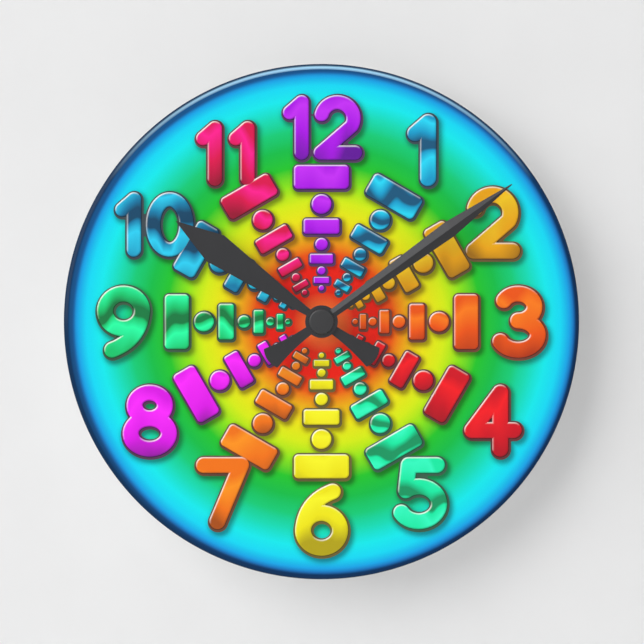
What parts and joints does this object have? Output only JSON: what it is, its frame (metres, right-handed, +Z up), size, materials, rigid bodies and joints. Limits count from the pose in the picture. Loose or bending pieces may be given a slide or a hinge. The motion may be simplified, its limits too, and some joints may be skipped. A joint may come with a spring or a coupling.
{
  "type": "wall clock",
  "caption": "Round wall clock with a printed acrylic disc, faceted charcoal hands and a plug-in quartz movement with battery, gear train and hanger.",
  "frame": {"origin": "on the axis of the hands, in the plane of the wall, which the movement's rear face rests on", "axes": "+Z up towards twelve o'clock; the dial faces -Y and +Y points into the wall; +X to the right as seen from in front"},
  "size_m": [0.2032, 0.0313, 0.2032],
  "materials": {
    "printed_acrylic": "glossy acrylic, printed in colour on its face",
    "hand_enamel": "thin aluminium, charcoal enamel",
    "cap_enamel": "charcoal moulded plastic",
    "case_plastic": "black moulded plastic, fine grain",
    "wheel_plastic": "natural white moulded acetal",
    "pinion_plastic": "blue moulded acetal",
    "bridge_plastic": "clear-white moulded plastic",
    "hanger_steel": "zinc-plated strip",
    "turned_brass": "turned brass",
    "black_rubber": "black rubber",
    "cell_jacket": "plain two-tone printed jacket",
    "nickel_contact": "nickel-plated spring strip",
    "motor_steel": "stamped soft-iron sheet",
    "bobbin_plastic": "black moulded plastic",
    "copper_wire": "enamelled copper wire",
    "board_laminate": "green circuit board",
    "chip_resin": "black resin",
    "crystal_can": "bright metal can",
    "rotor_magnet": "sintered magnet"
  },
  "bodies": {
    "case_and_dial": {"dial_disc": "printed_acrylic", "rubber_gasket": "black_rubber", "brass_washer": "turned_brass", "hex_nut": "turned_brass", "wall_hanger": "hanger_steel", "movement_rear_case": "case_plastic", "movement_front_cover": "case_plastic", "gear_bridge": "bridge_plastic", "battery": "cell_jacket", "positive_contact": "nickel_contact", "negative_contact": "nickel_contact", "stator_plate": "motor_steel", "coil_core": "motor_steel", "coil_bobbin": "bobbin_plastic", "coil_winding": "copper_wire", "circuit_board": "board_laminate", "chip_cover": "chip_resin", "quartz_crystal": "crystal_can"},
    "minute_group": {"minute_hand": "hand_enamel", "centre_cap": "cap_enamel", "minute_arbor": "turned_brass"},
    "hour_group": {"hour_hand": "hand_enamel", "hour_wheel": "case_plastic"},
    "setting_group": {"setting_wheel": "wheel_plastic", "setting_knob": "case_plastic"},
    "centre_group": {"centre_wheel": "wheel_plastic", "clutch_spring": "turned_brass"},
    "third_group": {"third_wheel": "wheel_plastic"},
    "fourth_group": {"fourth_wheel": "wheel_plastic"},
    "fifth_group": {"fifth_wheel": "wheel_plastic"},
    "rotor_group": {"rotor_pinion": "pinion_plastic", "rotor_magnet": "rotor_magnet"}
  },
  "joints": [
    {"name": "minute_hand_turn", "type": "hinge", "parent": "case_and_dial", "child": "minute_group", "pos_m": [0, 0, 0], "axis": [0, 1, 0], "continuous": true},
    {"name": "hour_hand_turn", "type": "hinge", "parent": "case_and_dial", "child": "hour_group", "pos_m": [0, 0, 0], "axis": [0, 1, 0], "continuous": true},
    {"name": "setting_knob_turn", "type": "hinge", "parent": "case_and_dial", "child": "setting_group", "pos_m": [0.01064, 0, 0], "axis": [0, 1, 0], "continuous": true},
    {"name": "fourth_wheel_turn", "type": "hinge", "parent": "case_and_dial", "child": "fourth_group", "pos_m": [0, 0, 0], "axis": [0, 1, 0], "continuous": true},
    {"name": "fifth_wheel_turn", "type": "hinge", "parent": "case_and_dial", "child": "fifth_group", "pos_m": [0.00441, 0, 0.00946], "axis": [0, 1, 0], "continuous": true},
    {"name": "rotor_turn", "type": "hinge", "parent": "case_and_dial", "child": "rotor_group", "pos_m": [0.00999, 0, 0.01566], "axis": [0, 1, 0], "continuous": true},
    {"name": "third_wheel_turn", "type": "hinge", "parent": "case_and_dial", "child": "third_group", "pos_m": [-0.00877, 0, 0.00507], "axis": [0, 1, 0], "continuous": true},
    {"name": "centre_wheel_turn", "type": "hinge", "parent": "case_and_dial", "child": "centre_group", "pos_m": [0, 0, 0], "axis": [0, 1, 0], "continuous": true}
  ],
  "couplings": [
    {"joint": "hour_hand_turn", "follows": "minute_hand_turn", "ratio": 0.083333},
    {"joint": "setting_knob_turn", "follows": "minute_hand_turn", "ratio": -0.33333},
    {"joint": "fifth_wheel_turn", "follows": "fourth_wheel_turn", "ratio": -5},
    {"joint": "rotor_turn", "follows": "fourth_wheel_turn", "ratio": 30},
    {"joint": "third_wheel_turn", "follows": "fourth_wheel_turn", "ratio": -0.13333},
    {"joint": "centre_wheel_turn", "follows": "fourth_wheel_turn", "ratio": 0.016667}
  ]
}
